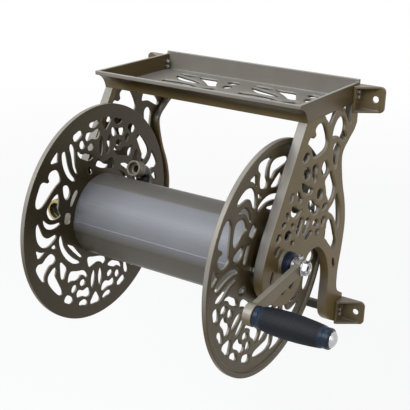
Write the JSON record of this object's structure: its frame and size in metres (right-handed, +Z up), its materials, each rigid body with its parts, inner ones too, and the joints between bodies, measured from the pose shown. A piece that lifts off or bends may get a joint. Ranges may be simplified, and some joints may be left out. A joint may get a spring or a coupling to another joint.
{
  "type": "hose reel",
  "caption": "Wall-mounted garden hose reel with a drum between fretted flanges, scrollwork side frames, a shelf tray on top, a hand crank and a swivelling brass water inlet.",
  "frame": {"origin": "centre of the rectangle of wall bolt holes, on the face of the wall", "axes": "+X along the axle towards the crank, -Y out from the wall towards the user, +Z up"},
  "size_m": [0.5507, 0.392, 0.4021],
  "materials": {
    "cast_frame": "satin bronze powder coat",
    "cast_flange": "satin bronze powder coat",
    "tray_paint": "satin bronze powder coat",
    "bracket_paint": "satin bronze powder coat",
    "rail_paint": "satin dark bronze paint",
    "drum_steel": "satin grey-brown paint on rolled steel",
    "zinc_hardware": "bright zinc plate",
    "dull_hardware": "dull zinc plate",
    "axle_steel": "drawn steel tube",
    "black_nylon": "moulded black nylon",
    "black_seal": "moulded black rubber",
    "outlet_bronze": "bronze-grey coated metal",
    "crank_paint": "satin bronze powder coat",
    "grip_rubber": "knurled blue-black rubber",
    "brass": "cast brass, lightly tarnished"
  },
  "bodies": {
    "frame": {"left_side_frame": "cast_frame", "right_side_frame": "cast_frame", "left_scroll_panel": "cast_frame", "right_scroll_panel": "cast_frame", "top_tray": "tray_paint", "tray_grille": "tray_paint", "upper_left_bracket": "bracket_paint", "upper_right_bracket": "bracket_paint", "lower_left_bracket": "bracket_paint", "lower_right_bracket": "bracket_paint", "lower_rail": "rail_paint", "tray_end_screws": "zinc_hardware", "tray_end_nuts": "zinc_hardware", "foot_screws": "dull_hardware", "foot_nuts": "dull_hardware", "tray_floor_screws": "zinc_hardware", "left_bush": "black_nylon", "right_bush": "black_nylon"},
    "reel": {"left_flange": "cast_flange", "right_flange": "cast_flange", "drum_shell": "drum_steel", "axle_tube": "axle_steel", "tie_rods": "zinc_hardware", "tie_rod_nuts": "zinc_hardware", "feed_pipe": "axle_steel", "outlet_gasket": "black_seal", "outlet_nipple": "outlet_bronze", "outlet_elbow": "outlet_bronze", "crank_washers": "zinc_hardware", "crank_arm": "crank_paint", "crank_nut": "zinc_hardware", "crank_set_screw": "zinc_hardware", "grip_spindle": "zinc_hardware", "grip_cap_nut": "zinc_hardware"},
    "grip": {"grip_sleeve": "grip_rubber"},
    "inlet": {"inlet_elbow": "brass", "inlet_seal": "black_seal"},
    "inlet_coupling": {"inlet_nut": "brass", "inlet_washer": "black_seal"}
  },
  "joints": [
    {"name": "reel_spin", "type": "hinge", "parent": "frame", "child": "reel", "pos_m": [0, -0.219, -0.0194], "axis": [1, 0, 0], "continuous": true},
    {"name": "grip_spin", "type": "hinge", "parent": "reel", "child": "grip", "pos_m": [0.26, -0.35498, -0.0361], "axis": [1, 0, 0], "continuous": true},
    {"name": "inlet_swivel", "type": "hinge", "parent": "frame", "child": "inlet", "pos_m": [-0.2, -0.219, -0.0194], "axis": [1, 0, 0], "continuous": true},
    {"name": "coupling_spin", "type": "hinge", "parent": "inlet", "child": "inlet_coupling", "pos_m": [-0.211, -0.25, -0.0194], "axis": [0, 1, 0], "continuous": true}
  ]
}
